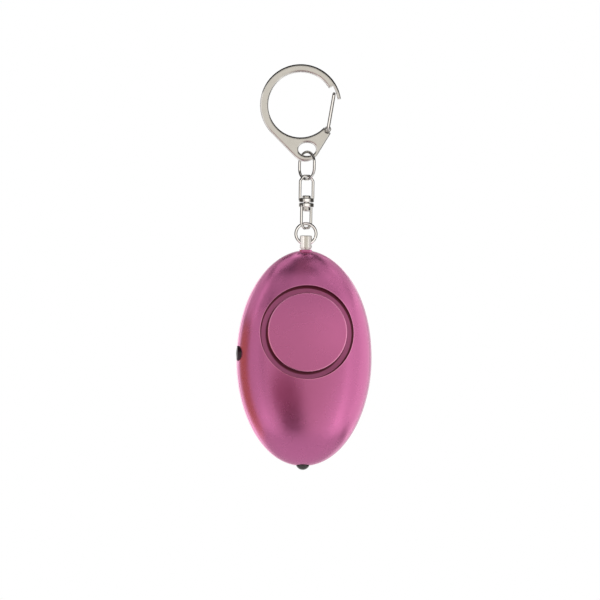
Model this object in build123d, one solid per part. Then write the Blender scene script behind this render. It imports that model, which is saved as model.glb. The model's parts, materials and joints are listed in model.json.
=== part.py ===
"""Personal safety alarm: an egg-shaped siren that hangs by its pull pin from a swivel chain and a snap clasp.

Lengths are millimetres. +Z is up, the front with the round speaker disc faces -Y, and the origin is the
top inside of the clasp's ring, where the object hangs. Below it, on the line X = 0, Y = 0, come the
clasp's eye, an oval link, a riveted swivel, a jump ring, the pull pin and the egg-shaped case.
The case's pieces are built with their seam on Y = 0 and moved forward when they are saved.
"""
from build123d import *
import os
from math import atan, cos, degrees, radians, sin, sqrt

os.makedirs("parts", exist_ok=True)

# Air and overruns
over = 1.0          # how far a cutting body runs past the face that it opens
hang_gap = 0.15     # air between one link and the next that it hangs in
ring_gap = 0.45     # the same where the jump ring hangs in the narrow crown of its loop
running = 0.06      # radial play of a turning or sliding pin
seat = 0.05         # air between pieces that sit in one another

# Clasp: a cast hook ring with an eye below it
ring_bore_r = 9.75
ring_bar = 2.45
ring_shift = 2.1        # the ring's centre stands this far left of the hanging line
clasp_thick = 2.2
clasp_round = 0.45      # rounding of the casting's edges
clasp_turn = -7         # degrees about Z at rest
eye_width = 5.3
eye_height = 3.9
eye_web = 1.6           # metal between the ring's bore and the eye
eye_rim = 1.75          # metal below the eye
lug_side = 1.65         # metal beside the eye
lug_shift = 0.55        # the lug's middle stands this far left of the hanging line
nose_angle = 31         # degrees above level where the full bar ends
lip_angle = 9           # degrees above level where the outer lip ends
lip_bar = 1.05
foot_angle = -43        # degrees from level where the lower end of the hook starts
pivot_angle = -41       # degrees from level of the gate's pivot, on the middle of the bar

# Gate: a spring wire bent to a U, its ends turned inward into the pivot hole
gate_wire_r = 0.5
gate_length = 10.75     # from the pivot to the middle of the head
gate_bend = 0.6
tongue_thick = 1.1      # thinned end of the hook between the two legs
tongue_wall = 0.4
notch_air = 0.1

# Oval link
link_wire_r = 0.43
link_width = 7.6
link_height = 9.1
link_gap = 0.75         # above the rim's middle: the wire bears on the rim's front and back edges
link_turn = -54         # degrees about Z at rest

# Swivel: two loops held by one rivet
loop_wire_r = 0.43
loop_width = 4.9
upper_loop_height = 8.4
lower_loop_height = 7.95
upper_turn = 12         # degrees about Z at rest
lower_turn = 40
crown_half = 1.0        # half of the level stretch at a loop's closed end
shoulder_drop = 1.5     # how far the slanted shoulder falls
shoulder_bend = 0.7
base_thick = 1.3
base_r = 2.35
base_round = 0.3
base_gap = 0.15
rivet_r = 0.85
rivet_head_r = 1.35
rivet_head_thick = 0.75
rivet_peen_thick = 1.25
rivet_play = 0.08       # end play under the rivet's head

# Jump ring
jump_wire_r = 0.475
jump_r = 3.025          # to the middle of the wire
jump_turn = -5          # degrees about Z at rest
jump_split = 0.12
jump_sink_share = 0.7   # share of the cross hole's play by which the ring hangs below its middle
jump_split_angle = -24  # degrees from level

# Pull pin
pin_head_r = 1.85
pin_head_length = 4.15
pin_head_round = 0.25
pin_hole_r = 1.0
pin_hole_depth = 2.1    # from the head's top to the cross hole's axis
pin_neck_r = 1.5
pin_neck_length = 0.3
pin_spigot_r = 0.9
pin_spigot_length = 0.9
shank_r = 1.2
shank_length = 13.0
blade_length = 3.6
blade_thick = 0.9
blade_width = 2.1

# Egg-shaped case. Its widest plane lies behind the seam, so the front shell is the shallow one
egg_half_width = 20.35
egg_rise = 32.85
egg_drop = 31.9
front_depth = 12.5      # from the widest plane to the front
back_depth = 11.0
belly_back = 2.0        # the widest plane stands this far behind the seam
axis_back = 1.6         # the pin and the lamp stand this far behind the seam
tip_round_share = 0.445      # fullness of the outline at the top
shoulder_round_share = 0.657
hip_round_share = 0.505
end_round_share = 0.604      # fullness of the outline at the bottom
wall = 1.6
tongue_depth = 1.2      # the front shell's lip that enters the back shell
lip_share = 0.5         # share of the wall that the lip takes
seam_groove = 0.22
collar_r = 1.95
collar_height = 0.15
collar_air = 0.1        # between the pin's head and the collar

# Speaker recess in the front shell
recess_rise = 8.65      # the recess's centre above the widest level
recess_share = 0.6814   # the recess's radius as a share of the case's half width
groove_width = 2.1      # between the disc and the recess's wall
recess_depth = 4.2
recess_floor = 1.0
recess_wall = 1.5
disc_sink = 1.0         # the disc's crown below the case's own curve
disc_dome = 0.6
disc_plate = 1.2
disc_skirt = 1.2
disc_round = 0.35
notch_count = 6         # at the foot of the disc's skirt, where the sound leaves
notch_width = 3.2
notch_height = 1.0
peg_count = 3
peg_r = 0.7
peg_reach = 1.6

# Siren
piezo_inset = 2.3       # of the siren's rim from the disc's
piezo_ledge = 0.9       # width of the ring that holds the siren
piezo_plate_thick = 0.2
ceramic_inset = 3.0     # of the ceramic's rim from the plate's
ceramic_thick = 0.25
piezo_seal_thick = 0.5

# Circuit board, its plane square to Y
board_air = 1.0         # behind the siren's lower edge
board_thick = 0.8
board_low = -2.9
board_step = 12.0
board_high = 22.5
board_edge = 2.1        # beyond the board's screws
board_neck_half = 7.0
board_round = 1.0
post_air = 1.0          # between a screw's post and the siren's rim
board_screw_z = 9.0
post_r = 1.7
screw_bite = 1.8        # how far a board screw enters its post
small_screw_r = 0.7
small_head_r = 1.3
small_head_thick = 0.9

# Switch contacts on each side of the pin's blade
leaf_thick = 0.2
leaf_width = 3.8
leaf_air = 0.1
leaf_foot = 2.0
leaf_low = 6.6
leaf_overlap = 0.7      # how far the leaves reach past the blade's tip

# Side button and its switch
button_rise = 1.75      # above the widest level
button_r = 2.2
button_proud = 0.45
button_dome = 0.3
button_air = 0.1
button_flange_r = 2.9
button_flange = 0.6
button_inset = 2.0      # from the case's side to the flange
button_post_r = 1.3
button_travel = 0.35
switch_length = 3.0
switch_height = 6.0
switch_depth = 3.4
plunger_r = 0.9
plunger_reach = 1.3

# Lamp at the bottom
lamp_r = 2.2
lamp_proud = 1.15       # beyond the case's lowest level
lamp_barrel = 5.2
lamp_flange_r = 2.6
lamp_flange = 1.0
lamp_air = 0.1
lamp_socket_wall = 1.3
lead_r = 0.3
lead_half_gap = 1.27
lead_bend = 0.9
lead_rise = 1.6
lead_air = 0.35         # between the leads and the battery cradle's front
lead_turn_z = -20.4
lead_top_z = -1.5

# Batteries: three button cells lying side to side
cell_r = 5.8
cell_thick = 5.4
cell_count = 3
cell_round = 0.4
cell_cap_r = 4.6
cell_cap = 0.25
cell_air = 0.1
battery_y = 2.0
battery_z = -11.0
cradle_wall = 0.8
cradle_end = 1.4
contact_thick = 0.25
contact_r = 3.6
contact_boss_r = 1.8     # the raised middle that bears on a cell
contact_tip_r = 0.9
contact_tab = 1.8
contact_foot = 1.6      # how far the contact's foot lies on the board
spring_gap = 0.5
rib_thick = 1.2
rib_half_height = 2.9
rib_x = 5.0

# Case screws: two above, two below
case_screws_at = ((10.5, 19.0), (-10.5, 19.0), (6.9, -20.9), (-6.9, -20.9))
case_screw_r = 1.0
case_head_r = 1.9
case_head_thick = 1.4
case_head_round = 0.45
case_head_sink = 0.8    # below the case's curve at the screw's axis
case_screw_bite = 4.4
case_boss_r = 2.7
case_socket_air = 0.2
cross_width = 0.5
cross_length = 2.2
cross_depth = 0.7

# Parts on the board's back
coil_inset = 3.6        # from the board's right screw
coil_rise = 5.2
coil_r = 3.0
coil_height = 4.6
coil_flange = 0.7
coil_core_r = 1.5
coil_air = 0.1
coil_hollow = 0.3       # how far the winding lies below the flanges' rims
chip_inset = 4.2        # from the board's left screw
chip_rise = 8.6
chip_r = 2.8
chip_height = 1.1
transistor_at = (2.9, 0.4)
transistor_size = (3.2, 3.6, 2.2)
capacitor_at = (-5.4, 17.4)
capacitor_r = 1.9
capacitor_height = 4.2
resistor_at = (-2.0, -1.2)
resistor_size = (1.6, 0.8, 0.5)
resistor_pitch = 2.6
resistor_count = 4

# Piezo wires
wire_r = 0.28
wire_bend = 0.5
wire_in_share = 0.55    # where the first wire starts, as a share of the ceramic's radius
wire_angles = (-124, -23)
wire_drop = 5.0
wire_stand = 0.75       # how far the wire stands off before it turns down

# Levels worked out from the top down
ring_z = -sqrt(ring_bore_r**2 - ring_shift**2)
ring_out_r = ring_bore_r + ring_bar
eye_top = ring_z - ring_bore_r - eye_web
eye_low = eye_top - eye_height
lug_low = eye_low - eye_rim
link_top = eye_low + link_gap + 2 * link_wire_r
link_low = link_top - link_height
loop_top = link_low + 2 * link_wire_r + hang_gap + 2 * loop_wire_r
upper_base_low = loop_top - upper_loop_height
lower_base_top = upper_base_low - base_gap
loop_low = lower_base_top - lower_loop_height
jump_top_inside = loop_low + 2 * loop_wire_r + ring_gap
jump_z = jump_top_inside - jump_r + jump_wire_r
hole_z = jump_z - jump_r + (pin_hole_r - jump_wire_r) * jump_sink_share
pin_top = hole_z + pin_hole_depth
pin_low = pin_top - pin_head_length
axis_rise = egg_rise * sqrt(1 - ((belly_back - axis_back) / front_depth) ** 2)
egg_z = pin_low - collar_air - collar_height - axis_rise
blade_tip = pin_low - shank_length - blade_length
whole_depth = front_depth + back_depth

# Sizes that follow the case's width and depth
recess_r = recess_share * egg_half_width
disc_r = recess_r - groove_width
piezo_r = disc_r - piezo_inset
sound_hole_r = piezo_r - piezo_ledge
ceramic_r = piezo_r - ceramic_inset
siren_depth = recess_depth + recess_floor + piezo_seal_thick + piezo_plate_thick
recess_y = belly_back - front_depth * sqrt(1 - (recess_rise / egg_rise) ** 2)
recess_tilt = atan(front_depth * recess_rise / egg_rise**2 / sqrt(1 - (recess_rise / egg_rise) ** 2))
board_front = recess_y + siren_depth * cos(recess_tilt) + piezo_r * sin(recess_tilt) + board_air
board_back = board_front + board_thick
board_screw_x = piezo_r + post_air + post_r
board_half_width = board_screw_x + board_edge
coil_at = (board_screw_x - coil_inset, coil_rise)
chip_at = (chip_inset - board_screw_x, chip_rise)
wire_starts = (wire_in_share * ceramic_r, (piezo_r + ceramic_r) / 2)


def save(node, solid):
    """Write one sub-part to its own file."""
    export_step(solid, "parts/" + node + ".step")


def save_in_case(node, solid):
    """Write a sub-part of the case, moved so that the line of the pin and the lamp hangs on Y = 0."""
    save(node, Pos(0, -axis_back, 0) * solid)


def turned(angle):
    """A turn about the hanging line."""
    return Rot(0, 0, angle)


def in_case(x, y, z):
    """A place in the case: Y from its seam and Z from its widest level."""
    return Pos(x, y, egg_z + z)


def on_axis(solid):
    """A solid built on the hanging line, placed where the pin and the lamp stand in the case."""
    return Pos(0, axis_back, 0) * solid


def upright(sketch, half_thick):
    """A sketch stood up in the XZ plane and thickened to both sides."""
    return extrude(Plane.XZ * sketch, half_thick, both=True)


def along_y(radius, start, end):
    """A round bar along Y between two places."""
    return Pos(0, (start + end) / 2, 0) * Rot(90, 0, 0) * Cylinder(radius, abs(end - start))


def along_x(radius, start, end):
    """A round bar along X between two places."""
    return Pos((start + end) / 2, 0, 0) * Rot(0, 90, 0) * Cylinder(radius, abs(end - start))


def along_z(radius, start, end):
    """A round bar along Z between two places."""
    return Pos(0, 0, (start + end) / 2) * Cylinder(radius, abs(end - start))


def block(low, high):
    """A box between two corners."""
    size = [high[i] - low[i] for i in range(3)]
    middle = [(high[i] + low[i]) / 2 for i in range(3)]
    return Pos(*middle) * Box(*size)


def wire_along(path, radius):
    """A round wire that follows a path."""
    start = Plane(origin=path @ 0, z_dir=path % 0)
    return sweep(start * Circle(radius), path)


def rounded_disc(radius, thick, rounding):
    """A flat round disc on the XY plane with both rims rounded."""
    disc = Cylinder(radius, thick)
    return fillet(disc.edges().filter_by(GeomType.CIRCLE), rounding)


def ray(radius, angle):
    """A point in the clasp's own plane, by its distance and angle from the ring's centre."""
    return (-ring_shift + radius * cos(radians(angle)), ring_z + radius * sin(radians(angle)))


def sector(inner, outer, low_angle, high_angle):
    """A piece of ring between two angles, as a sketch in the clasp's plane."""
    middle = (low_angle + high_angle) / 2
    outline = Wire(
        [
            ThreePointArc(ray(outer, low_angle), ray(outer, middle), ray(outer, high_angle)),
            Line(ray(outer, high_angle), ray(inner, high_angle)),
            ThreePointArc(ray(inner, high_angle), ray(inner, middle), ray(inner, low_angle)),
            Line(ray(inner, low_angle), ray(outer, low_angle)),
        ]
    )
    return make_face(outline)


def gate_pivot():
    """The gate's pivot in the clasp's own plane."""
    return ray(ring_bore_r + ring_bar / 2, pivot_angle)


def gate_head():
    """The middle of the gate's head, which rests inside the lip."""
    x, z = gate_pivot()
    rest_r = ring_out_r - lip_bar - notch_air - gate_wire_r
    reach = sqrt((x + ring_shift) ** 2 + (z - ring_z) ** 2)
    spread = (reach**2 + rest_r**2 - gate_length**2) / (2 * reach * rest_r)
    return ray(rest_r, pivot_angle + degrees(atan(sqrt(1 - spread**2) / spread)))


def make_clasp():
    """The cast hook: a ring open at the right, with a nose, a thinned foot for the gate and an eye."""
    lug_r = eye_width / 2 + lug_side
    ring = Pos(-ring_shift, ring_z) * Circle(ring_out_r)
    lug = Pos(-lug_shift, lug_low + lug_r) * Circle(lug_r)
    plate = make_hull([*ring.edges(), *lug.edges()])
    plate -= Pos(-ring_shift, ring_z) * Circle(ring_bore_r)
    plate -= Pos(0, eye_low + eye_height / 2) * Ellipse(eye_width / 2, eye_height / 2)
    plate -= sector(ring_bore_r - over, ring_out_r - lip_bar, lip_angle - over, nose_angle)
    plate -= sector(ring_bore_r - over, ring_out_r + over, foot_angle, lip_angle)
    body = upright(plate, clasp_thick / 2)
    rims = body.edges().filter_by(GeomType.LINE, reverse=True)
    faces = [e for e in rims if abs(abs(e.center().Y) - clasp_thick / 2) < seat]
    body = fillet(faces, clasp_round)

    x, z = gate_pivot()
    tongue_r = gate_wire_r + running + tongue_wall
    place = Pos(x, 0, z)
    body -= place * along_y(tongue_r + notch_air, -clasp_thick, clasp_thick)
    core = place * along_y(tongue_r, -tongue_thick / 2, tongue_thick / 2)
    stem_r = tongue_r + notch_air + seat
    foot = ray(ring_bore_r + ring_bar / 2, pivot_angle - degrees(stem_r / ring_bore_r))
    root = Pos(foot[0], 0, foot[1]) * along_y(tongue_r, -tongue_thick / 2, tongue_thick / 2)
    body += core + root
    body -= place * along_y(gate_wire_r + running, -clasp_thick, clasp_thick)
    return turned(clasp_turn) * body


def make_gate():
    """The gate's wire: two legs beside the hook, joined by the head, with ends that turn into the pivot."""
    leg = tongue_thick / 2 + notch_air + gate_wire_r
    inner_end = seat
    foot, head = gate_pivot(), gate_head()
    points = [
        (foot[0], -inner_end, foot[1]),
        (foot[0], -leg, foot[1]),
        (head[0], -leg, head[1]),
        (head[0], leg, head[1]),
        (foot[0], leg, foot[1]),
        (foot[0], inner_end, foot[1]),
    ]
    path = FilletPolyline(*points, radius=gate_bend)
    return turned(clasp_turn) * wire_along(path, gate_wire_r)


def make_link():
    """The oval link: two half turns joined by short straight sides."""
    half = link_width / 2 - link_wire_r
    high = link_top - link_width / 2
    low = link_low + link_width / 2
    path = Wire(
        [
            Line((half, 0, low), (half, 0, high)),
            ThreePointArc((half, 0, high), (0, 0, high + half), (-half, 0, high)),
            Line((-half, 0, high), (-half, 0, low)),
            ThreePointArc((-half, 0, low), (0, 0, low - half), (half, 0, low)),
        ]
    )
    return turned(link_turn) * wire_along(path, link_wire_r)


def make_loop(base, crown, way):
    """One swivel loop: a bent wire from a round base to a narrow crown. way is 1 when it points up."""
    half = loop_width / 2 - loop_wire_r
    tip = crown - way * loop_wire_r
    shoulder = tip - way * shoulder_drop
    middle = base + way * base_thick / 2
    points = [
        (-half, 0, middle),
        (-half, 0, shoulder),
        (-crown_half, 0, tip),
        (crown_half, 0, tip),
        (half, 0, shoulder),
        (half, 0, middle),
    ]
    wire = wire_along(FilletPolyline(*points, radius=shoulder_bend), loop_wire_r)
    return wire + Pos(0, 0, middle) * rounded_disc(base_r, base_thick, base_round)


def make_upper_loop():
    """The upper loop, free to turn on the rivet."""
    loop = make_loop(upper_base_low, loop_top, 1)
    hole = along_z(rivet_r + running, upper_base_low - over, upper_base_low + base_thick + over)
    return turned(upper_turn) * (loop - hole)


def make_lower_loop():
    """The lower loop, riveted tight."""
    loop = make_loop(lower_base_top, loop_low, -1)
    hole = along_z(rivet_r, lower_base_top - base_thick - over, lower_base_top + over)
    return turned(lower_turn) * (loop - hole)


def make_rivet():
    """The rivet: a set head inside the upper loop and a domed, peened one inside the lower loop."""
    head_low = upper_base_low + base_thick + rivet_play
    peen_top = lower_base_top - base_thick
    shaft = along_z(rivet_r, peen_top, head_low)
    head = Pos(0, 0, head_low + rivet_head_thick / 2) * Cylinder(rivet_head_r, rivet_head_thick)
    head = fillet(head.edges().group_by(Axis.Z)[-1], rivet_head_thick / 2)
    peen = Pos(0, 0, peen_top - rivet_peen_thick / 2) * Cylinder(rivet_head_r, rivet_peen_thick)
    peen = fillet(peen.edges().group_by(Axis.Z)[0], rivet_peen_thick / 2)
    return shaft + head + peen


def make_jump_ring():
    """The jump ring, cut through at its right side as it was when it was closed on the chain."""
    ring = Pos(0, 0, jump_z) * Rot(90, 0, 0) * Torus(jump_r, jump_wire_r)
    size = 2 * jump_wire_r + over
    saw = Pos(jump_r, 0, 0) * Box(size, size, jump_split)
    ring -= Pos(0, 0, jump_z) * Rot(0, -jump_split_angle, 0) * saw
    return turned(jump_turn) * ring


def make_pin_head():
    """The plated head of the pull pin, with a cross hole for the jump ring and a socket for the shank."""
    body = along_z(pin_head_r, pin_low + pin_neck_length, pin_top)
    body = fillet(body.edges().filter_by(GeomType.CIRCLE), pin_head_round)
    body += along_z(pin_neck_r, pin_low, pin_low + pin_neck_length + pin_head_round)
    cross = Pos(0, 0, hole_z) * along_x(pin_hole_r, -pin_head_r - over, pin_head_r + over)
    body -= turned(jump_turn) * cross
    return body - along_z(pin_spigot_r, pin_low - over, pin_low + pin_spigot_length)


def make_pin_shank():
    """The moulded shank of the pull pin, ending in the flat blade that keeps the contacts apart."""
    spigot = along_z(pin_spigot_r, pin_low, pin_low + pin_spigot_length)
    shank = along_z(shank_r, pin_low - shank_length, pin_low)
    half = blade_thick / 2
    low = (-half, -blade_width / 2, blade_tip)
    high = (half, blade_width / 2, pin_low - shank_length)
    return spigot + shank + block(low, high)


def egg_half(inset, way):
    """Half of the egg, drawn in by an inset. way is -1 for the front half and 1 for the back half."""
    width = egg_half_width - inset
    rise = egg_rise - inset
    drop = egg_drop - inset
    depth = (front_depth if way < 0 else back_depth) - inset
    tip, shoulder = tip_round_share * width, shoulder_round_share * rise
    hip, end = hip_round_share * drop, end_round_share * width
    outline = [
        Bezier((0, 0, rise), (tip, 0, rise), (width, 0, shoulder), (width, 0, 0)),
        Bezier((width, 0, 0), (width, 0, -hip), (end, 0, -drop), (0, 0, -drop)),
        Line((0, 0, -drop), (0, 0, rise)),
    ]
    half = revolve(make_face(Wire(outline)), Axis.Z, way * 180)
    half = scale(half, by=(1, depth / width, 1))
    return in_case(0, belly_back, 0) * half


def slab(start, end):
    """A slab across the whole case between two places along Y."""
    side = egg_half_width + over
    low = (-side, start, egg_z - egg_drop - over)
    return block(low, (side, end, egg_z + egg_rise + 2 * over))


front_outer = egg_half(0, -1)
back_outer = egg_half(0, 1)
front_inner = egg_half(wall, -1)
back_inner = egg_half(wall, 1)
front_side = slab(-front_depth, 0)
back_side = slab(0, belly_back + back_depth + over)
whole_egg = (front_outer & slab(-front_depth, belly_back)) + back_outer


def curve_depth(x, z, depth):
    """How far the case's curve stands from its widest plane at a place on its upper or lower half."""
    height = egg_rise if z > 0 else egg_drop
    return depth * sqrt(1 - (x / egg_half_width) ** 2 - (z / height) ** 2)


recess_plane = Plane(
    origin=(0, recess_y, egg_z + recess_rise),
    x_dir=(1, 0, 0),
    z_dir=(0, -cos(recess_tilt), sin(recess_tilt)),
)


def in_recess(radius, low, high):
    """A round bar square to the speaker recess, between two heights on the recess's axis."""
    return recess_plane * Pos(0, 0, (low + high) / 2) * Cylinder(radius, high - low)


def around(count, radius, start=0):
    """Places evenly round the recess's axis."""
    return [Rot(0, 0, start + 360 * i / count) * Pos(radius, 0, 0) for i in range(count)]


def bosses(radius, start, end):
    """Round bosses along Y at the case screws."""
    return [in_case(x, 0, z) * along_y(radius, start, end) for x, z in case_screws_at]


def pin_socket():
    """The thick tube at the case's top, round the pin's bushing."""
    return on_axis(along_z(bushing_r + wall, bushing_low, pin_low - collar_air))


def lamp_socket():
    """The thick tube at the case's bottom, round the lamp."""
    tube = along_z(lamp_r + lamp_air + lamp_socket_wall, egg_z - egg_drop, lamp_flange_low)
    return on_axis(tube)


bushing_r = 2.4
bushing_depth = 8.15     # of its lower end below the case's top
bushing_length = 5.6
bushing_low = egg_z + egg_rise - bushing_depth
lamp_tip = egg_z - egg_drop - lamp_proud
lamp_flange_low = lamp_tip + lamp_r + lamp_barrel
button_x = -egg_half_width * sqrt(1 - (belly_back / front_depth) ** 2)
button_flange_x = button_x + button_inset


def openings():
    """What is cut from both shells: the pin's way in, the lamp's, the button's and the seam's fine groove."""
    collar_top = pin_low - collar_air
    cuts = [
        on_axis(along_z(shank_r + running + seat, bushing_low, collar_top + over)),
        on_axis(along_z(bushing_r + seat, bushing_low - over, bushing_low + bushing_length)),
        on_axis(along_z(lamp_r + lamp_air, lamp_tip, lamp_flange_low + over)),
        in_case(0, 0, button_rise) * along_x(button_r + button_air, button_x - over, button_flange_x),
        button_pocket(),
    ]
    return cuts


def button_pocket():
    """The pocket inside the wall that the button's flange moves in."""
    place = in_case(0, 0, button_rise)
    return place * along_x(button_flange_r + button_air, button_flange_x - seat, switch_face())


def collar():
    """The raised collar round the pin."""
    return on_axis(along_z(collar_r, egg_z + axis_rise - over, pin_low - collar_air))


def make_front_shell():
    """The front shell: the shallow half of the egg with the speaker recess and its floor."""
    shell = (front_outer & front_side) - front_inner
    well = in_recess(recess_r + recess_wall, -recess_depth - recess_floor, over) & front_outer
    shell += well
    shell += [boss & front_outer for boss in bosses(case_boss_r - case_socket_air, -front_depth, 0)]
    sockets = (pin_socket() + lamp_socket()) & whole_egg
    shell += sockets & front_side
    for x in (board_screw_x, -board_screw_x):
        post = in_case(x, 0, board_screw_z) * along_y(post_r, recess_y + recess_depth, board_front)
        shell += post
    rib_low = battery_z - rib_half_height
    rib_high = battery_z + rib_half_height
    for x in (rib_x, -rib_x):
        low = (x - rib_thick / 2, -front_depth, egg_z + rib_low)
        high = (x + rib_thick / 2, cradle_front(), egg_z + rib_high)
        shell += block(low, high) & front_outer
    shell += seam_lip(seat, tongue_depth - seat)

    shell -= in_recess(recess_r, -recess_depth, over)
    shell -= in_recess(sound_hole_r, -recess_depth - recess_floor - over, over)
    pegs = [recess_plane * place * along_z(peg_r + seat, -front_depth, over) for place in peg_places()]
    shell -= pegs
    shell -= openings()
    bite = case_screw_bite
    shell -= bosses(case_screw_r, -bite, over)
    for x in (board_screw_x, -board_screw_x):
        hole = along_y(small_screw_r, board_front - screw_bite, board_front + over)
        shell -= in_case(x, 0, board_screw_z) * hole
    return shell - seam_cut()


def peg_places():
    """Where the speaker disc's pegs stand."""
    return around(peg_count, disc_r - disc_skirt / 2 - seat, 90)


def seam_lip(outer_air, depth):
    """The thin lip inside the wall that crosses the seam from the front shell into the back one."""
    outer = egg_half(wall * lip_share + outer_air, -1)
    lip = (outer - front_inner) & slab(-tongue_depth, depth)
    lip -= bosses(case_boss_r + seat, -front_depth, tongue_depth + over)
    return lip - button_pocket() - pin_socket() - lamp_socket()


def seam_cut():
    """The fine groove round the case where the two shells meet."""
    skin = front_outer - egg_half(seam_groove, -1)
    return skin & slab(-seam_groove / 2, seam_groove / 2)


def screw_head_seat(x, z):
    """Where a case screw's head seats, along Y."""
    return belly_back + curve_depth(x, z, back_depth) - case_head_sink - case_head_thick


def make_back_shell():
    """The back shell: the deep half of the egg with four sunk screw sockets."""
    belt = (front_outer - front_inner) & slab(0, belly_back)
    shell = (back_outer - back_inner) + belt
    shell += [boss & (back_outer + (front_outer & back_side)) for boss in bosses(case_boss_r, 0, whole_depth)]
    sockets = (pin_socket() + lamp_socket()) & whole_egg
    shell += (sockets + collar()) & back_side
    shell -= seam_lip(0, tongue_depth)
    shell -= openings()
    for x, z in case_screws_at:
        floor = screw_head_seat(x, z)
        shell -= in_case(x, 0, z) * along_y(case_head_r + case_socket_air, floor, whole_depth)
        shell -= in_case(x, 0, z) * along_y(case_screw_r + case_socket_air, -over, floor + over)
    return shell - seam_cut()


def make_speaker_disc():
    """The round cover over the siren: a shallow dome on a notched skirt, with pegs in the floor."""
    edge = -disc_sink - disc_dome
    dome_r = (disc_r**2 + disc_dome**2) / (2 * disc_dome)
    ball = Pos(0, 0, -disc_sink - dome_r) * Rot(90, 0, 0) * Sphere(dome_r)
    body = along_z(disc_r, edge - disc_plate, -disc_sink) & ball
    rims = body.edges().filter_by(GeomType.CIRCLE).sort_by(lambda e: e.center().Z)
    body = fillet([e for e in rims if abs(e.radius - disc_r) < seat][-1], disc_round)
    skirt = along_z(disc_r, -recess_depth, edge - disc_plate)
    skirt -= along_z(disc_r - disc_skirt, -recess_depth - over, edge)
    low = (disc_r - 2 * disc_skirt, -notch_width / 2, -recess_depth - over)
    notch = block(low, (disc_r + over, notch_width / 2, -recess_depth + notch_height))
    skirt -= [turn * notch for turn in around(notch_count, 0)]
    body += skirt
    for place in peg_places():
        body += place * along_z(peg_r, -recess_depth - peg_reach, -recess_depth + seat)
    return recess_plane * body


def piezo_level(drop):
    """A height on the recess's axis, measured down from the floor's underside."""
    return -recess_depth - recess_floor - drop


def make_piezo_seal():
    """The soft ring that holds the siren's plate to the recess's floor."""
    return in_recess(piezo_r, piezo_level(piezo_seal_thick), piezo_level(0)) - in_recess(
        sound_hole_r, piezo_level(over), piezo_level(-over)
    )


def make_piezo_plate():
    """The siren's brass plate."""
    top = piezo_seal_thick
    return in_recess(piezo_r, piezo_level(top + piezo_plate_thick), piezo_level(top))


def make_piezo_ceramic():
    """The ceramic disc on the brass plate."""
    top = piezo_seal_thick + piezo_plate_thick
    return in_recess(ceramic_r, piezo_level(top + ceramic_thick), piezo_level(top))


def make_piezo_wire(radius, angle):
    """A wire from the siren to the board: off the plate, down behind it and back to the board's face."""
    thick = piezo_seal_thick + piezo_plate_thick + (ceramic_thick if radius < ceramic_r else 0)
    base = recess_plane * Rot(0, 0, angle) * Pos(radius, 0, piezo_level(thick))
    first = base.position
    stand = first + Vector(0, wire_stand, 0)
    low = Vector(stand.X, stand.Y, stand.Z - wire_drop)
    end = Vector(low.X, board_front, low.Z)
    path = FilletPolyline(first, stand, low, end, radius=wire_bend)
    return wire_along(path, wire_r)


def make_board():
    """The circuit board, with a neck beside the pin and holes for its screws."""
    mid = (board_low + board_step) / 2
    wide = Pos(0, mid) * RectangleRounded(2 * board_half_width, board_step - board_low, board_round)
    tall = board_high - board_low
    neck = Pos(0, board_low + tall / 2) * RectangleRounded(2 * board_neck_half, tall, board_round)
    plate = wide + neck
    for x in (board_screw_x, -board_screw_x):
        plate -= Pos(x, board_screw_z) * Circle(small_screw_r + seat)
    solid = extrude(Plane.XZ * plate, -board_thick)
    return in_case(0, board_front, 0) * solid


def cross_recess(face):
    """The cross in a screw's head, cut from a face that looks to +Y."""
    one = Pos(0, face - cross_depth / 2, 0) * Box(cross_length, cross_depth, cross_width)
    two = Pos(0, face - cross_depth / 2, 0) * Box(cross_width, cross_depth, cross_length)
    return one + two


def make_board_screws():
    """Two small screws that hold the board to its posts."""
    screws = []
    head_top = board_back + small_head_thick
    for x in (board_screw_x, -board_screw_x):
        head = along_y(small_head_r, board_back, head_top)
        shaft = along_y(small_screw_r, board_front - screw_bite, board_back)
        share = small_head_r / case_head_r
        cut = scale(cross_recess(0), by=(share, share, share))
        screws.append(in_case(x, 0, board_screw_z) * (head + shaft - Pos(0, head_top, 0) * cut))
    return Compound(screws)


def make_case_screws():
    """Four screws from the back shell into the front one."""
    screws = []
    for x, z in case_screws_at:
        floor = screw_head_seat(x, z)
        head = along_y(case_head_r, floor, floor + case_head_thick)
        head = fillet(head.edges().group_by(Axis.Y)[-1], case_head_round)
        shaft = along_y(case_screw_r, -case_screw_bite, floor)
        screws.append(in_case(x, 0, z) * (head + shaft - cross_recess(floor + case_head_thick)))
    return Compound(screws)


def make_bushing():
    """The guide that the pull pin slides in, held between the shells."""
    low = bushing_low
    high = bushing_low + bushing_length - seat
    tube = along_z(bushing_r, low, high) - along_z(shank_r + running, low - over, high + over)
    return on_axis(tube)


def make_leaf(way, air, stand):
    """One contact leaf beside the blade, with a foot at the board. way is -1 for the left one."""
    near = way * (blade_thick / 2 + air)
    far = near + way * leaf_thick
    toe = far + way * leaf_foot
    top = blade_tip + leaf_overlap
    low = egg_z + leaf_low
    face = board_back + stand
    x0, x1 = sorted((near, far))
    strip = block((x0, face, low), (x1, face + leaf_width, top))
    f0, f1 = sorted((far, toe))
    foot = block((f0, face, low), (f1, face + leaf_thick, low + leaf_foot))
    return strip + foot


def make_button():
    """The side button: a domed cap with a flange inside the wall and a post to the switch."""
    face = button_x - button_proud
    flange = button_flange_x
    cap = along_x(button_r, face, flange)
    dome_r = (button_r**2 + button_dome**2) / (2 * button_dome)
    ball = Pos(face + dome_r, 0, 0) * Sphere(dome_r)
    cap = cap & ball
    rim = along_x(button_flange_r, flange, flange + button_flange)
    post = along_x(button_post_r, flange, switch_face() - plunger_reach)
    return in_case(0, 0, button_rise) * (cap + rim + post)


def switch_face():
    """The switch body's outer face, along X."""
    return -board_half_width


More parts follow.
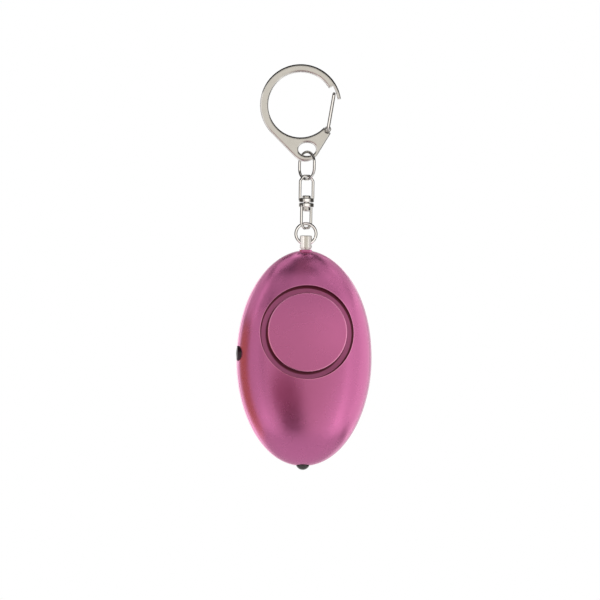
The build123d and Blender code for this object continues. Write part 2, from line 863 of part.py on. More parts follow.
def make_plunger():
    """The switch's plunger, which the button pushes."""
    face = switch_face()
    return in_case(0, 0, button_rise) * along_x(plunger_r, face - plunger_reach, face + plunger_r)


def make_switch():
    """The push switch on the board's edge, with a bore for its plunger."""
    face = switch_face()
    half = switch_height / 2
    low = (face, board_back, egg_z + button_rise - half)
    high = (face + switch_length, board_back + switch_depth, egg_z + button_rise + half)
    bore_end = face + plunger_r + button_travel + running
    bore = in_case(0, 0, button_rise) * along_x(plunger_r + running, face - over, bore_end)
    return block(low, high) - bore


def make_lamp():
    """The lamp: a clear round-nosed barrel with a flange on its socket."""
    nose = Pos(0, 0, lamp_tip + lamp_r) * Rot(90, 0, 0) * Sphere(lamp_r)
    barrel = along_z(lamp_r, lamp_tip + lamp_r, lamp_flange_low)
    flange = along_z(lamp_flange_r, lamp_flange_low, lamp_flange_low + lamp_flange)
    return on_axis(nose + barrel + flange)


def make_lamp_leads():
    """The lamp's two leads, which pass in front of the battery cradle to the board."""
    start = lamp_flange_low + lamp_flange - egg_z
    front = cradle_front() - lead_air - lead_r
    leads = []
    for x in (lead_half_gap, -lead_half_gap):
        points = [
            (x, axis_back, start),
            (x, axis_back, lead_turn_z),
            (x, front, lead_turn_z + lead_rise),
            (x, front, lead_top_z),
            (x, board_front, lead_top_z),
        ]
        path = FilletPolyline(*points, radius=lead_bend)
        leads.append(in_case(0, 0, 0) * wire_along(path, lead_r))
    return Compound(leads)


def cradle_front():
    """The cradle's front face, along Y."""
    return battery_y - cell_r - cell_air - cradle_wall


def stack_half():
    """Half the length of the row of cells."""
    return cell_count * cell_thick / 2


def make_cell(index):
    """One button cell: a can with rounded rims and a smaller cap at its left face."""
    start = -stack_half() + index * cell_thick
    can = along_x(cell_r, start + cell_cap, start + cell_thick)
    can = fillet(can.edges().filter_by(GeomType.CIRCLE), cell_round)
    cap = along_x(cell_cap_r, start, start + cell_cap)
    return in_case(0, battery_y, battery_z) * (can + cap)


def make_cradle():
    """The open cradle that the cells lie in, between two end walls."""
    end = stack_half() + spring_gap + 2 * contact_thick
    outer = end + cradle_end
    half = cell_r + cell_air + cradle_wall
    low = (-outer, cradle_front(), egg_z + battery_z - half)
    high = (outer, battery_y, egg_z + battery_z + half)
    body = block(low, high)
    body -= in_case(0, battery_y, battery_z) * along_x(cell_r + cell_air, -end, end)
    return body


def contact_plate(start, end):
    """A battery contact: a round plate with a tab that rises to the board."""
    x0, x1 = sorted((start, end))
    plate = in_case(0, battery_y, battery_z) * along_x(contact_r, x0, x1)
    back = battery_y + contact_tab
    top = egg_z + board_low + contact_foot
    tab = block((x0, battery_y + seat, egg_z + battery_z), (x1, back, top))
    foot = block((x0, board_back, egg_z + board_low), (x1, back, top))
    return plate + tab + foot


def make_plus_plate():
    """The flat contact at the right end of the cells."""
    end = stack_half() + spring_gap + 2 * contact_thick
    return contact_plate(end - contact_thick, end) + in_case(0, battery_y, battery_z) * along_x(
        contact_boss_r, stack_half(), end - contact_thick
    )


def make_minus_plate():
    """The contact at the left end of the cells, with a pressed cone that bears on the first cell."""
    end = -(stack_half() + spring_gap + 2 * contact_thick)
    inner = end + contact_thick
    cone = Pos((inner - stack_half()) / 2, 0, 0) * Rot(0, 90, 0)
    cone *= Cone(contact_boss_r, contact_tip_r, -stack_half() - inner)
    return contact_plate(end, inner) + in_case(0, battery_y, battery_z) * cone


def on_board(at, solid):
    """A part stood on the board's back, its foot on the board and its height along +Y."""
    return in_case(at[0], board_back, at[1]) * Rot(-90, 0, 0) * solid


def make_coil_core():
    """The boost coil's spool-shaped core."""
    foot = along_z(coil_r, 0, coil_flange)
    head = along_z(coil_r, coil_height - coil_flange, coil_height)
    return on_board(coil_at, foot + head + along_z(coil_core_r, 0, coil_height))


def make_coil_winding():
    """The coil's copper winding between the spool's flanges."""
    low = coil_flange + coil_air
    high = coil_height - coil_flange - coil_air
    ring = along_z(coil_r - coil_hollow, low, high) - along_z(coil_core_r + coil_air, 0, coil_height)
    return on_board(coil_at, ring)


def make_chip():
    """The driver chip under its drop of resin."""
    dome_r = (chip_r**2 + chip_height**2) / (2 * chip_height)
    drop = Pos(0, 0, chip_height - dome_r) * Sphere(dome_r)
    return on_board(chip_at, drop & along_z(chip_r + over, 0, chip_height + over))


def make_transistor():
    """The transistor that drives the siren."""
    size = transistor_size
    low = (-size[0] / 2, -size[1] / 2, 0)
    return on_board(transistor_at, block(low, (size[0] / 2, size[1] / 2, size[2])))


def make_capacitor():
    """The round capacitor."""
    return on_board(capacitor_at, along_z(capacitor_r, 0, capacitor_height))


def make_resistors():
    """A row of chip resistors."""
    size = resistor_size
    row = []
    for i in range(resistor_count):
        at = (resistor_at[0] + (i - 2) * resistor_pitch, resistor_at[1])
        low = (-size[1] / 2, -size[0] / 2, 0)
        row.append(on_board(at, block(low, (size[1] / 2, size[0] / 2, size[2]))))
    return Compound(row)


chain_pieces = {
    "clasp_body": make_clasp,
    "gate_wire": make_gate,
    "oval_link": make_link,
    "swivel_upper_loop": make_upper_loop,
    "swivel_lower_loop": make_lower_loop,
    "swivel_rivet": make_rivet,
    "jump_ring": make_jump_ring,
    "pin_head": make_pin_head,
    "pin_shank": make_pin_shank,
}
case_pieces = {
    "front_shell": make_front_shell,
    "back_shell": make_back_shell,
    "speaker_disc": make_speaker_disc,
    "piezo_seal": make_piezo_seal,
    "piezo_plate": make_piezo_plate,
    "piezo_ceramic": make_piezo_ceramic,
    "circuit_board": make_board,
    "board_screws": make_board_screws,
    "case_screws": make_case_screws,
    "pin_bushing": make_bushing,
    "led_button": make_button,
    "switch_plunger": make_plunger,
    "switch_body": make_switch,
    "led_lamp": make_lamp,
    "led_leads": make_lamp_leads,
    "battery_cradle": make_cradle,
    "battery_plus_plate": make_plus_plate,
    "battery_minus_plate": make_minus_plate,
    "coil_core": make_coil_core,
    "coil_winding": make_coil_winding,
    "driver_chip": make_chip,
    "transistor": make_transistor,
    "capacitor": make_capacitor,
    "resistors": make_resistors,
}

for node, make in chain_pieces.items():
    save(node, make())
for node, make in case_pieces.items():
    save_in_case(node, make())
save_in_case("contact_fixed", make_leaf(-1, seat, 0))
save_in_case("contact_spring", make_leaf(1, leaf_air, seat))
for number, (radius, angle) in enumerate(zip(wire_starts, wire_angles)):
    save_in_case("piezo_wire_" + str(number + 1), make_piezo_wire(radius, angle))
for number in range(cell_count):
    save_in_case("battery_cell_" + str(number + 1), make_cell(number))
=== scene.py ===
"""Looks of a personal safety alarm: satin pink case, dark button and lamp, bright nickel chain.

Lengths are metres and the angles in the tables are degrees. The camera stands a little to the
case's left and is rolled a little, as in the photograph.
"""
import json
import math

import bpy
from mathutils import Matrix, Vector


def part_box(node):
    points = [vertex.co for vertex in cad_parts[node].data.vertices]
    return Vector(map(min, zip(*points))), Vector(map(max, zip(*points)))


MM = 0.001

# The photograph's frame, in pixels. Its two dimension bars disagree a little, and the scale is a
# choice between what they give
FRAME_PIXELS = 600
METRES_PER_PIXEL = 0.300 * MM
HANG_LINE_X = 305.0     # the hanging line at the frame's middle height
HANG_POINT_Y = 73.3     # the clasp's hanging point, inside its ring

CAMERA_DISTANCE = 0.62
CAMERA_AZIMUTH = -5.0   # to the case's left
CAMERA_ROLL = 0.80      # the object's top leans right
CAMERA_SENSOR = 36.0    # millimetres, as is the lens
CAMERA_REACH = (0.01, 10.0)

# The speaker disc and the groove round it
DISC_MIDDLE = (0.0, -0.01166, -0.07727)
DISC_TILT = 5.93        # its face leans up
DISC_RADIUS = 11.766 * MM
GROOVE_RADIUS = 13.866 * MM
GROOVE_DULLNESS = 0.30

# Where the front's colour and dullness change round the disc, with a painted highlight on its edges
# and painted shade in the groove's corners: offsets from a radius at which a mask is 0 and is 1
DISC_HIGHLIGHT_BAND = (-0.42 * MM, -0.26 * MM)
GROOVE_START = (-0.06 * MM, -0.01 * MM)
GROOVE_END = (0.08 * MM, 0.03 * MM)
GROOVE_HIGHLIGHT_BAND = (0.30 * MM, 0.14 * MM)
OUTER_SHADE_BAND = (-0.50 * MM, -0.36 * MM)
INNER_SHADE_BAND = (0.50 * MM, 0.05 * MM)
OUTER_SHADE_SHIFT = (-0.13 * MM, -0.25 * MM)      # painted shade, thicker in the outer corner at the upper right
INNER_SHADE_SHIFT = (-0.20 * MM, -0.40 * MM)      # more shade at the disc's foot at the lower left

PINK = (0.64, 0.155, 0.375)
# A painted highlight: the lighter pink on the disc's rim and the groove's outer lip
PAINTED_HIGHLIGHT_PINK = (0.92, 0.32, 0.56)
# Painted shade: the dark pink in the groove's corners, lying thicker at the upper right outside and
# at the lower left by the disc
PAINTED_SHADE_PINK = (0.19, 0.005, 0.045)
NICKEL = (0.80, 0.785, 0.76)

NOISE_LOW = 0.3         # most of a noise's values lie between these two
NOISE_HIGH = 0.7
EDGE_SAMPLES = 8
SMOOTH_ANGLE = 32

FLOOR_DROP = 0.250      # the floor lies this far below the lamp
FLOOR_RADIUS = 0.30
FLOOR_SIDES = 96
FLOOR_LIGHT_SIZE = (1.0, 1.0)
FLOOR_LIGHT = 2.5

# The groups of pieces that have lights of their own
LIT_NODES = {
    "case_pieces": ("front_shell", "back_shell", "speaker_disc"),
    "clasp_pieces": ("clasp_body",),
    "wire_pieces": (
        "gate_wire", "oval_link", "swivel_upper_loop", "swivel_lower_loop", "jump_ring",
    ),
    "pin_pieces": ("pin_head",),
}

# Soft panels by group: name, azimuths, elevations, brightness, colour
LIGHT_DISTANCE = 0.60
WHITE = (1.0, 0.97, 0.98)
PANELS = {
    "case_pieces": (
        ("left_edge", (-124, -86), (-42, 12), 0.46, (1.0, 0.52, 0.12)),
        ("left_edge_upper", (-124, -78), (14, 44), 0.66, WHITE),
        ("left_edge_lower", (-124, -84), (-66, -42), 0.22, WHITE),
        ("left_rim", (-165, -124), (-34, 10), 0.60, WHITE),
        ("left_rim_upper", (-165, -124), (12, 46), 0.60, WHITE),
        ("right_rim_upper", (140, 168), (12, 56), 0.55, WHITE),
        ("crown_rim", (168, 192), (26, 56), 0.60, WHITE),
        ("left", (-86, -57), (-40, 24), 0.62, WHITE),
        ("right", (52, 84), (-40, 24), 0.82, WHITE),
        ("right_edge", (84, 130), (-34, 24), 1.00, WHITE),
        ("front_right", (8, 24), (2, 20), 0.22, WHITE),
        ("front_upper", (-30, 30), (16, 28), 0.16, WHITE),
        ("upper_left", (-90, -54), (26, 54), 0.44, WHITE),
        ("upper_middle_left", (-54, -18), (26, 54), 0.48, WHITE),
        ("upper_middle", (-18, 18), (26, 54), 0.56, WHITE),
        ("upper_middle_right", (18, 54), (26, 54), 0.60, WHITE),
        ("upper_right", (54, 90), (22, 54), 0.72, WHITE),
        ("upper_right_edge", (90, 140), (22, 60), 0.70, WHITE),
        ("top_right", (30, 90), (54, 76), 0.52, WHITE),
        ("top_left", (-145, -75), (50, 76), 0.75, WHITE),
        ("top_front", (-30, 30), (54, 84), 0.20, (1.0, 0.75, 0.72)),
        ("top_back", (140, 220), (58, 88), 1.35, WHITE),
    ),
    "wire_pieces": (
        ("wire_front", (-24, 30), (-30, 30), 0.70, WHITE),
        ("wire_top", (-60, 60), (50, 84), 0.30, WHITE),
    ),
    "pin_pieces": (
        ("pin_left", (-120, -40), (-30, 30), 0.90, WHITE),
        ("pin_right", (40, 120), (-30, 30), 0.60, WHITE),
    ),
    "clasp_pieces": (
        ("clasp_front", (-30, 30), (-25, 30), 0.06, (1.0, 0.97, 0.93)),
        ("clasp_left", (-110, -45), (-25, 25), 0.60, WHITE),
        ("clasp_low_left", (-90, -20), (-65, -25), 0.35, WHITE),
    ),
}

# What the pieces reflect apart from the panels. A round patch has a direction, the angles at
# which it begins to fade and is gone, and a colour
SURROUNDINGS = (1.06, 1.06, 1.06)
SIDE_PATCHES = (
    ((-1.0, 0.03, 0.0), 26, 56, (0.07, 0.06, 0.055)),
    ((1.0, 0.03, 0.0), 26, 56, (0.07, 0.065, 0.06)),
    ((0.0, -1.0, 0.0), 14, 66, (0.68, 0.65, 0.59)),
)
OVERHEAD = (0.27, 0.45)     # the sines of the elevations where the dark overhead begins and is full
OVERHEAD_SHADE = (0.03, 0.03, 0.03)
LOW_PATCHES = (
    ((-0.27, -0.89, -0.36), 6, 21, (0.21, 0.07, 0.09)),
    ((-0.46, -0.84, -0.30), 3, 15, (0.28, 0.13, 0.15)),
    ((-0.18, -0.76, -0.62), 5, 20, (0.08, 0.03, 0.035)),
)


def link(tree, out_node, out_socket, in_node, in_socket):
    """Join two sockets of a node tree."""
    tree.links.new(out_node.outputs[out_socket], in_node.inputs[in_socket])


def new_material(name, colour, metallic=0.0, roughness=0.5, **more):
    """A material whose constant values stand on the shader's own sockets."""
    material = bpy.data.materials.new(name)
    material.use_nodes = True
    shader = material.node_tree.nodes["Principled BSDF"]
    shader.inputs["Base Color"].default_value = (*colour, 1.0)
    shader.inputs["Metallic"].default_value = metallic
    shader.inputs["Roughness"].default_value = roughness
    for socket, value in more.items():
        shader.inputs[socket.replace("_", " ")].default_value = value
    return material, material.node_tree, shader


def noise(tree, scale, detail=3.0, stretch=(1, 1, 1), distortion=0.0):
    """Noise in the object's own place, with its scale in features to the metre."""
    place = tree.nodes.new("ShaderNodeTexCoord")
    mapping = tree.nodes.new("ShaderNodeMapping")
    mapping.inputs["Scale"].default_value = stretch
    texture = tree.nodes.new("ShaderNodeTexNoise")
    texture.inputs["Scale"].default_value = scale
    texture.inputs["Detail"].default_value = detail
    texture.inputs["Distortion"].default_value = distortion
    link(tree, place, "Object", mapping, "Vector")
    link(tree, mapping, "Vector", texture, "Vector")
    return texture


def spread(tree, texture, shader, socket, low, high):
    """Run a shader's number between two values by a texture."""
    run = tree.nodes.new("ShaderNodeMapRange")
    run.inputs["From Min"].default_value = NOISE_LOW
    run.inputs["From Max"].default_value = NOISE_HIGH
    run.inputs["To Min"].default_value = low
    run.inputs["To Max"].default_value = high
    link(tree, texture, "Fac", run, "Value")
    link(tree, run, "Result", shader, socket)


def tint(tree, texture, shader, low, high):
    """Run the shader's colour between two colours by a texture."""
    ramp = tree.nodes.new("ShaderNodeValToRGB")
    first, last = ramp.color_ramp.elements
    first.position = NOISE_LOW
    first.color = (*low, 1.0)
    last.position = NOISE_HIGH
    last.color = (*high, 1.0)
    link(tree, texture, "Fac", ramp, "Fac")
    link(tree, ramp, "Color", shader, "Base Color")


def bump(tree, texture, shader, height, strength=0.3):
    """Raise the surface a little by a texture."""
    node = tree.nodes.new("ShaderNodeBump")
    node.inputs["Strength"].default_value = strength
    node.inputs["Distance"].default_value = height
    link(tree, texture, "Fac", node, "Height")
    link(tree, node, "Normal", shader, "Normal")
    return node


def shaded(colour, factor):
    """A colour made lighter or darker."""
    return tuple(min(1.0, c * factor) for c in colour)


def step(tree, node, socket, zero, one):
    """A soft step in a value, from 0 at one of its limits to 1 at the other."""
    run = tree.nodes.new("ShaderNodeMapRange")
    run.interpolation_type = "SMOOTHSTEP"
    run.inputs["From Min"].default_value = min(zero, one)
    run.inputs["From Max"].default_value = max(zero, one)
    run.inputs["To Min"].default_value = 0.0 if zero < one else 1.0
    run.inputs["To Max"].default_value = 1.0 if zero < one else 0.0
    link(tree, node, socket, run, "Value")
    return run


def both(tree, one, other):
    """Where two masks overlap."""
    product = tree.nodes.new("ShaderNodeMath")
    product.operation = "MULTIPLY"
    tree.links.new(one.outputs[0], product.inputs[0])
    tree.links.new(other.outputs[0], product.inputs[1])
    return product


def cover(tree, under, mask, shade):
    """Lay a plain colour over another by a mask, and return the socket of the result."""
    mix = tree.nodes.new("ShaderNodeMix")
    mix.data_type = "RGBA"
    mix.inputs["B"].default_value = (*shade, 1.0)
    tree.links.new(mask.outputs[0], mix.inputs["Factor"])
    tree.links.new(under, mix.inputs["A"])
    return next(socket for socket in mix.outputs if socket.type == "RGBA")


def from_disc_axis(tree, shift=(0.0, 0.0)):
    """The distance from the speaker disc's own axis, or from a line beside it."""
    place = tree.nodes.new("ShaderNodeTexCoord")
    arm = tree.nodes.new("ShaderNodeVectorMath")
    arm.operation = "SUBTRACT"
    arm.inputs[1].default_value = Vector(DISC_MIDDLE) + Vector((shift[0], 0.0, shift[1]))
    turn = tree.nodes.new("ShaderNodeVectorMath")
    turn.operation = "CROSS_PRODUCT"
    tilt = math.radians(DISC_TILT)
    turn.inputs[1].default_value = (0.0, -math.cos(tilt), math.sin(tilt))
    away = tree.nodes.new("ShaderNodeVectorMath")
    away.operation = "LENGTH"
    link(tree, place, "Object", arm, 0)
    link(tree, arm, "Vector", turn, 0)
    link(tree, turn, "Vector", away, 0)
    return away


def near(tree, distance, radius, offsets):
    """A mask that is 0 at the first offset from a radius and 1 at the second."""
    return step(tree, distance, "Value", radius + offsets[0], radius + offsets[1])


def pink_lacquer():
    """Satin metallic lacquer with fine flakes and a little wave in its sheen."""
    material, tree, shader = new_material(
        "pink_lacquer", PINK, metallic=0.85, roughness=0.27, Coat_Weight=0.6, Coat_Roughness=0.25
    )
    flakes = noise(tree, 9000, detail=1.0)
    tint(tree, flakes, shader, shaded(PINK, 0.96), shaded(PINK, 1.04))
    spread(tree, noise(tree, 140), shader, "Roughness", 0.25, 0.29)
    bump(tree, noise(tree, 2600, detail=2.0), shader, height=0.004 * MM, strength=0.25)
    return material


def front_lacquer():
    """The same lacquer in front: a painted highlight on the edges round the disc and its groove,
    duller in the groove, with painted shade in its corners.
    """
    material = pink_lacquer()
    material.name = "front_lacquer"
    tree = material.node_tree
    shader = tree.nodes["Principled BSDF"]
    colour = shader.inputs["Base Color"].links[0].from_socket
    wave = shader.inputs["Roughness"].links[0].from_socket
    middle = from_disc_axis(tree)
    outer = from_disc_axis(tree, OUTER_SHADE_SHIFT)
    inner = from_disc_axis(tree, INNER_SHADE_SHIFT)
    highlight_in = near(tree, middle, DISC_RADIUS, DISC_HIGHLIGHT_BAND)
    groove_in = near(tree, middle, DISC_RADIUS, GROOVE_START)
    groove_out = near(tree, middle, GROOVE_RADIUS, GROOVE_END)
    highlight_out = near(tree, middle, GROOVE_RADIUS, GROOVE_HIGHLIGHT_BAND)
    outer_shade_mask = near(tree, outer, GROOVE_RADIUS, OUTER_SHADE_BAND)
    inner_shade_mask = near(tree, inner, DISC_RADIUS, INNER_SHADE_BAND)
    groove = both(tree, groove_in, groove_out)
    for mask, shade in (
        # painted highlight on the disc's rim and the groove's outer lip
        (both(tree, highlight_in, highlight_out), PAINTED_HIGHLIGHT_PINK),
        (groove, PINK),
        # painted shade in the groove's outer and inner corners
        (both(tree, groove, outer_shade_mask), PAINTED_SHADE_PINK),
        (both(tree, groove, inner_shade_mask), PAINTED_SHADE_PINK),
    ):
        colour = cover(tree, colour, mask, shade)
    tree.links.new(colour, shader.inputs["Base Color"])
    duller = tree.nodes.new("ShaderNodeMath")
    duller.operation = "MULTIPLY_ADD"
    duller.inputs[1].default_value = GROOVE_DULLNESS
    link(tree, groove, "Value", duller, 0)
    tree.links.new(wave, duller.inputs[2])
    link(tree, duller, "Value", shader, "Roughness")
    return material


def nickel(name, colour, low, high, grain, edge=0.0):
    """Plated metal with faint polishing marks, its edges softened over a radius if one is given."""
    material, tree, shader = new_material(name, colour, metallic=1.0, roughness=low)
    marks = noise(tree, grain, detail=4.0, stretch=(1.0, 1.0, 0.25), distortion=0.4)
    spread(tree, marks, shader, "Roughness", low, high)
    soft = noise(tree, grain * 0.3, detail=2.0)
    tint(tree, soft, shader, shaded(colour, 0.96), shaded(colour, 1.03))
    raised = bump(tree, marks, shader, height=0.003 * MM, strength=0.2)
    if edge:
        soften = tree.nodes.new("ShaderNodeBevel")
        soften.samples = EDGE_SAMPLES
        soften.inputs["Radius"].default_value = edge
        link(tree, soften, "Normal", raised, "Normal")
    return material


def moulded(name, colour, roughness, grain=3000):
    """Moulded plastic with a fine spark-eroded grain."""
    material, tree, shader = new_material(name, colour, roughness=roughness)
    texture = noise(tree, grain)
    spread(tree, texture, shader, "Roughness", roughness - 0.06, roughness + 0.06)
    clouds = noise(tree, grain * 0.2, detail=2.0)
    tint(tree, clouds, shader, shaded(colour, 0.93), shaded(colour, 1.07))
    bump(tree, texture, shader, height=0.01 * MM)
    return material


def smoked_lens():
    """The lamp's smoked clear plastic."""
    colour = (0.055, 0.045, 0.042)
    material, tree, shader = new_material(
        "smoked_lens", colour, roughness=0.16, IOR=1.49, Transmission_Weight=0.35, Coat_Weight=0.4
    )
    spread(tree, noise(tree, 900, detail=2.0), shader, "Roughness", 0.13, 0.19)
    clouds = noise(tree, 300, detail=2.0)
    tint(tree, clouds, shader, shaded(colour, 0.9), shaded(colour, 1.15))
    return material


def circuit_green():
    """Solder mask over copper tracks."""
    colour = (0.02, 0.12, 0.05)
    material, tree, shader = new_material("circuit_green", colour, roughness=0.3, Coat_Weight=0.3)
    tracks = noise(tree, 700, detail=0.0, stretch=(1, 0.2, 1))
    tint(tree, tracks, shader, shaded(colour, 0.8), shaded(colour, 1.5))
    spread(tree, noise(tree, 1500, detail=2.0), shader, "Roughness", 0.26, 0.36)
    return material


MAKERS = {
    "bright_nickel": lambda: nickel("bright_nickel", NICKEL, 0.07, 0.13, 1500),
    "satin_nickel": lambda: nickel("satin_nickel", (0.86, 0.83, 0.79), 0.24, 0.32, 2600),
    "satin_pink": pink_lacquer,
    "dark_plastic": lambda: moulded("dark_plastic", (0.045, 0.018, 0.03), 0.34),
    "smoked_lens": smoked_lens,
    "black_plastic": lambda: moulded("black_plastic", (0.018, 0.018, 0.018), 0.5),
    "white_plastic": lambda: moulded("white_plastic", (0.72, 0.72, 0.69), 0.45),
    "soft_rubber": lambda: moulded("soft_rubber", (0.03, 0.03, 0.03), 0.8, 1500),
    "piezo_brass": lambda: nickel("piezo_brass", (0.72, 0.50, 0.20), 0.28, 0.38, 900),
    "spring_brass": lambda: nickel("spring_brass", (0.78, 0.58, 0.26), 0.2, 0.3, 1500),
    "ceramic_white": lambda: moulded("ceramic_white", (0.78, 0.76, 0.70), 0.55, 1800),
    "board_green": circuit_green,
    "screw_steel": lambda: nickel("screw_steel", (0.55, 0.55, 0.56), 0.22, 0.36, 2600),
    "cell_steel": lambda: nickel("cell_steel", (0.66, 0.66, 0.65), 0.18, 0.28, 1800),
    "copper_wire": lambda: nickel("copper_wire", (0.66, 0.24, 0.09), 0.28, 0.4, 3000),
    "capacitor_can": lambda: nickel("capacitor_can", (0.60, 0.61, 0.64), 0.3, 0.42, 1800),
    "wire_red": lambda: moulded("wire_red", (0.45, 0.02, 0.02), 0.4),
    "wire_black": lambda: moulded("wire_black", (0.02, 0.02, 0.02), 0.4),
}

# The cast clasp has softer edges than the wires, and the front shell holds the disc's groove
OWN_MAKERS = {
    "clasp_body": lambda: nickel("cast_nickel", NICKEL, 0.09, 0.15, 1500, edge=0.9 * MM),
    "front_shell": front_lacquer,
}


def dress(frame):
    """Give every CAD node the material of its slot, or its own make of it."""
    made = {slot: maker() for slot, maker in MAKERS.items()}
    own = {node: maker() for node, maker in OWN_MAKERS.items()}
    own["speaker_disc"] = own["front_shell"]
    for row in frame["record"]["subparts"]:
        piece = frame["nodes"][row["node"]]
        piece.data.materials.clear()
        piece.data.materials.append(own.get(row["node"], made[row["material_slot"]]))
        piece.data.shade_smooth()
        bpy.context.view_layer.objects.active = piece
        piece.select_set(True)
        bpy.ops.object.shade_smooth_by_angle(angle=math.radians(SMOOTH_ANGLE))
        piece.select_set(False)


def make_floor(low):
    """A round pale floor below the object."""
    points = []
    for i in range(FLOOR_SIDES):
        angle = 2 * math.pi * i / FLOOR_SIDES
        points.append((FLOOR_RADIUS * math.cos(angle), FLOOR_RADIUS * math.sin(angle), low))
    mesh = bpy.data.meshes.new("floor")
    mesh.from_pydata(points, [], [list(range(FLOOR_SIDES))])
    floor = bpy.data.objects.new("floor", mesh)
    bpy.context.scene.collection.objects.link(floor)
    material, tree, shader = new_material("floor_white", (0.86, 0.86, 0.86), roughness=0.7)
    spread(tree, noise(tree, 60, detail=2.0), shader, "Roughness", 0.66, 0.74)
    floor.data.materials.append(material)
    return floor


def patch(tree, direction, inner, outer):
    """A mask that is 1 inside a round patch of the surroundings and 0 outside it."""
    place = tree.nodes.new("ShaderNodeTexCoord")
    dot = tree.nodes.new("ShaderNodeVectorMath")
    dot.operation = "DOT_PRODUCT"
    dot.inputs[1].default_value = Vector(direction).normalized()
    link(tree, place, "Generated", dot, 0)
    return step(
        tree, dot, "Value", math.cos(math.radians(outer)), math.cos(math.radians(inner))
    )


def overhead(tree):
    """A mask that is 0 in the lower surroundings and 1 overhead."""
    place = tree.nodes.new("ShaderNodeTexCoord")
    parts = tree.nodes.new("ShaderNodeSeparateXYZ")
    link(tree, place, "Generated", parts, "Vector")
    return step(tree, parts, "Z", *OVERHEAD)


def make_world():
    """White surroundings for the eye, and a studio with light and dark parts to reflect."""
    world = bpy.data.worlds.new("studio")
    bpy.context.scene.world = world
    world.use_nodes = True
    tree = world.node_tree
    tree.nodes.clear()
    base = tree.nodes.new("ShaderNodeRGB")
    base.outputs[0].default_value = (*SURROUNDINGS, 1.0)
    colour = base.outputs[0]
    for direction, inner, outer, shade in SIDE_PATCHES:
        colour = cover(tree, colour, patch(tree, direction, inner, outer), shade)
    colour = cover(tree, colour, overhead(tree), OVERHEAD_SHADE)
    for direction, inner, outer, shade in LOW_PATCHES:
        colour = cover(tree, colour, patch(tree, direction, inner, outer), shade)
    around = tree.nodes.new("ShaderNodeBackground")
    tree.links.new(colour, around.inputs["Color"])
    seen = tree.nodes.new("ShaderNodeBackground")
    seen.inputs["Color"].default_value = (1.0, 1.0, 1.0, 1.0)
    rays = tree.nodes.new("ShaderNodeLightPath")
    choose = tree.nodes.new("ShaderNodeMixShader")
    out = tree.nodes.new("ShaderNodeOutputWorld")
    link(tree, rays, "Is Camera Ray", choose, "Fac")
    tree.links.new(around.outputs[0], choose.inputs[1])
    tree.links.new(seen.outputs[0], choose.inputs[2])
    link(tree, choose, "Shader", out, "Surface")


def receivers(name, pieces):
    """A collection of the pieces that a light falls on."""
    made = bpy.data.collections.new(name)
    for piece in pieces:
        made.objects.link(piece)
    return made


def soft_light(name, away, size, brightness, lit, colour):
    """A soft flat light for a few pieces, facing the disc's middle from one direction."""
    data = bpy.data.lights.new(name, "AREA")
    data.shape = "RECTANGLE"
    data.size, data.size_y = size
    data.energy = brightness * math.pi * size[0] * size[1]
    data.color = colour
    light = bpy.data.objects.new(name, data)
    light.location = Vector(DISC_MIDDLE) + away * LIGHT_DISTANCE
    light.rotation_euler = away.to_track_quat("Z", "Y").to_euler()
    bpy.context.scene.collection.objects.link(light)
    light.light_linking.receiver_collection = lit
    light.visible_camera = False


def panel(name, azimuths, elevations, brightness, lit, colour):
    """A soft light that fills the space between two azimuths and two elevations."""
    turn, rise = math.radians(sum(azimuths) / 2), math.radians(sum(elevations) / 2)
    level = math.cos(rise)
    away = Vector((math.sin(turn) * level, -math.cos(turn) * level, math.sin(rise)))
    half_turn = math.radians(azimuths[1] - azimuths[0]) / 2 * level
    half_rise = math.radians(elevations[1] - elevations[0]) / 2
    size = (2 * LIGHT_DISTANCE * math.tan(half_turn), 2 * LIGHT_DISTANCE * math.tan(half_rise))
    soft_light(name, away, size, brightness, lit, colour)


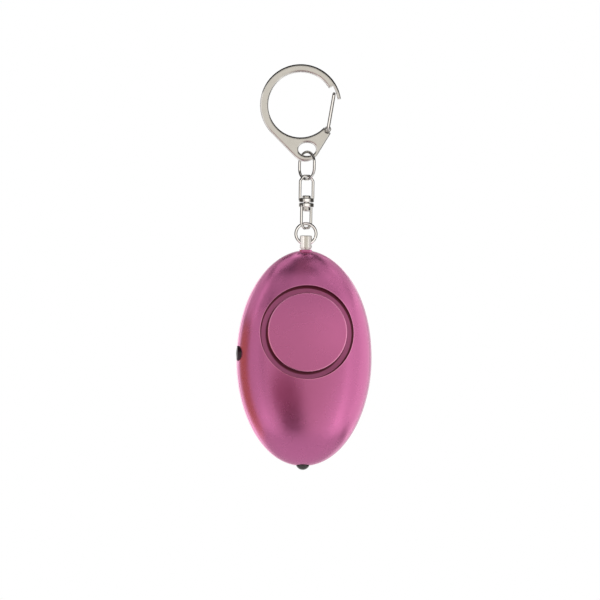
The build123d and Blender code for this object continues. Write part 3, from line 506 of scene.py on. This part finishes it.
def make_lights(frame, floor):
    """Soft panels for each group of pieces, and one light above the floor."""
    groups = {
        group: receivers(group, [frame["nodes"][node] for node in nodes])
        for group, nodes in LIT_NODES.items()
    }
    for group, rows in PANELS.items():
        for name, azimuths, elevations, brightness, colour in rows:
            panel(name, azimuths, elevations, brightness, groups[group], colour)
    above = Vector((0.0, 0.0, 1.0))
    lit = receivers("floor_pieces", [floor])
    soft_light("floor_light", above, FLOOR_LIGHT_SIZE, FLOOR_LIGHT, lit, (1.0, 1.0, 1.0))


def make_camera():
    """The camera at the photograph's angle, with its frame and scale at the object's own depth."""
    right_shift = (FRAME_PIXELS / 2 - HANG_LINE_X) * METRES_PER_PIXEL
    drop = (FRAME_PIXELS / 2 - HANG_POINT_Y) * METRES_PER_PIXEL
    azimuth = math.radians(CAMERA_AZIMUTH)
    away = Vector((math.sin(azimuth), -math.cos(azimuth), 0.0))
    right = Vector((math.cos(azimuth), math.sin(azimuth), 0.0))
    aim = right * right_shift + Vector((0.0, 0.0, -drop))
    data = bpy.data.cameras.new("camera")
    data.sensor_width = CAMERA_SENSOR
    data.lens = CAMERA_SENSOR * CAMERA_DISTANCE / (FRAME_PIXELS * METRES_PER_PIXEL)
    data.clip_start, data.clip_end = CAMERA_REACH
    camera = bpy.data.objects.new("camera", data)
    turn = (-away).to_track_quat("-Z", "Y").to_matrix().to_4x4()
    roll = Matrix.Rotation(math.radians(CAMERA_ROLL), 4, "Z")
    camera.matrix_world = Matrix.Translation(aim + away * CAMERA_DISTANCE) @ turn @ roll
    bpy.context.scene.collection.objects.link(camera)
    bpy.context.scene.camera = camera


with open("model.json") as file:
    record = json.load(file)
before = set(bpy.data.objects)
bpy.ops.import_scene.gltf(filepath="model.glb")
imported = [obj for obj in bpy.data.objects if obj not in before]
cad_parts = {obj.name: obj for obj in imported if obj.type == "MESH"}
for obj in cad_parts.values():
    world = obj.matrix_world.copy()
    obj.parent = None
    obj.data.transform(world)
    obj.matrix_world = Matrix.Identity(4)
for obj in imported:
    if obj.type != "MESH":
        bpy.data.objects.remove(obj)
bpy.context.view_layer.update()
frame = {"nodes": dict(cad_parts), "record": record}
dress(frame)
lamp_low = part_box("led_lamp")[0].z
floor = make_floor(lamp_low - FLOOR_DROP)
make_world()
make_lights(frame, floor)
make_camera()
bpy.context.scene.view_settings.view_transform = "Standard"
